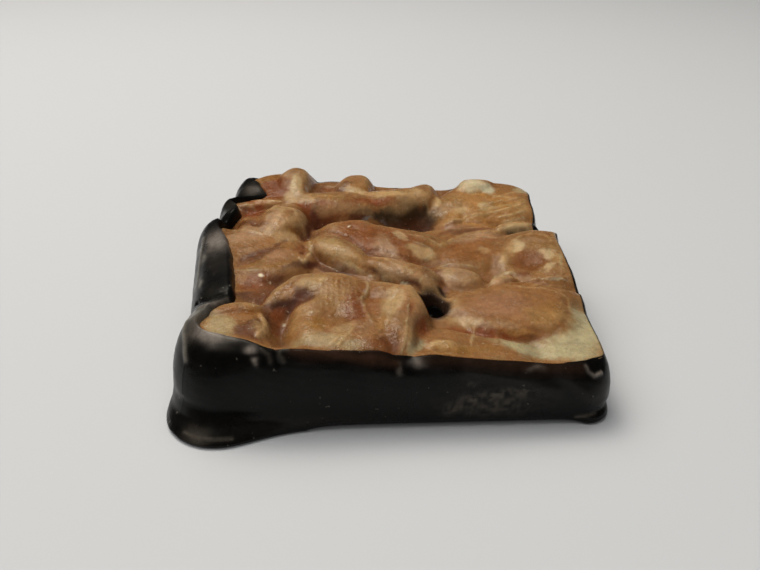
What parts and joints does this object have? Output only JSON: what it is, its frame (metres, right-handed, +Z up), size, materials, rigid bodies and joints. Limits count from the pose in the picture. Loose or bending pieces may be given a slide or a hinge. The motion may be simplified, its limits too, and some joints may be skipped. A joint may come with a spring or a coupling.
{
  "type": "florentine",
  "caption": "Square florentine: a lumpy slab of almond flakes set in caramel, its base and sides dipped in dark chocolate.",
  "frame": {"origin": "on the resting face, under the middle of the bounding box", "axes": "+Z up from the resting face through the caramel top, +Y from the front face to the back, +X from the thick left side to the thin right side"},
  "size_m": [0.0722, 0.0752, 0.0194],
  "materials": {
    "almond_caramel": "waxy glazed caramel over pale almond flakes",
    "dark_chocolate": "smooth set dark chocolate, satin gloss"
  },
  "bodies": {
    "root": {"almond_caramel_slab": "almond_caramel", "chocolate_coat": "dark_chocolate"}
  },
  "joints": []
}
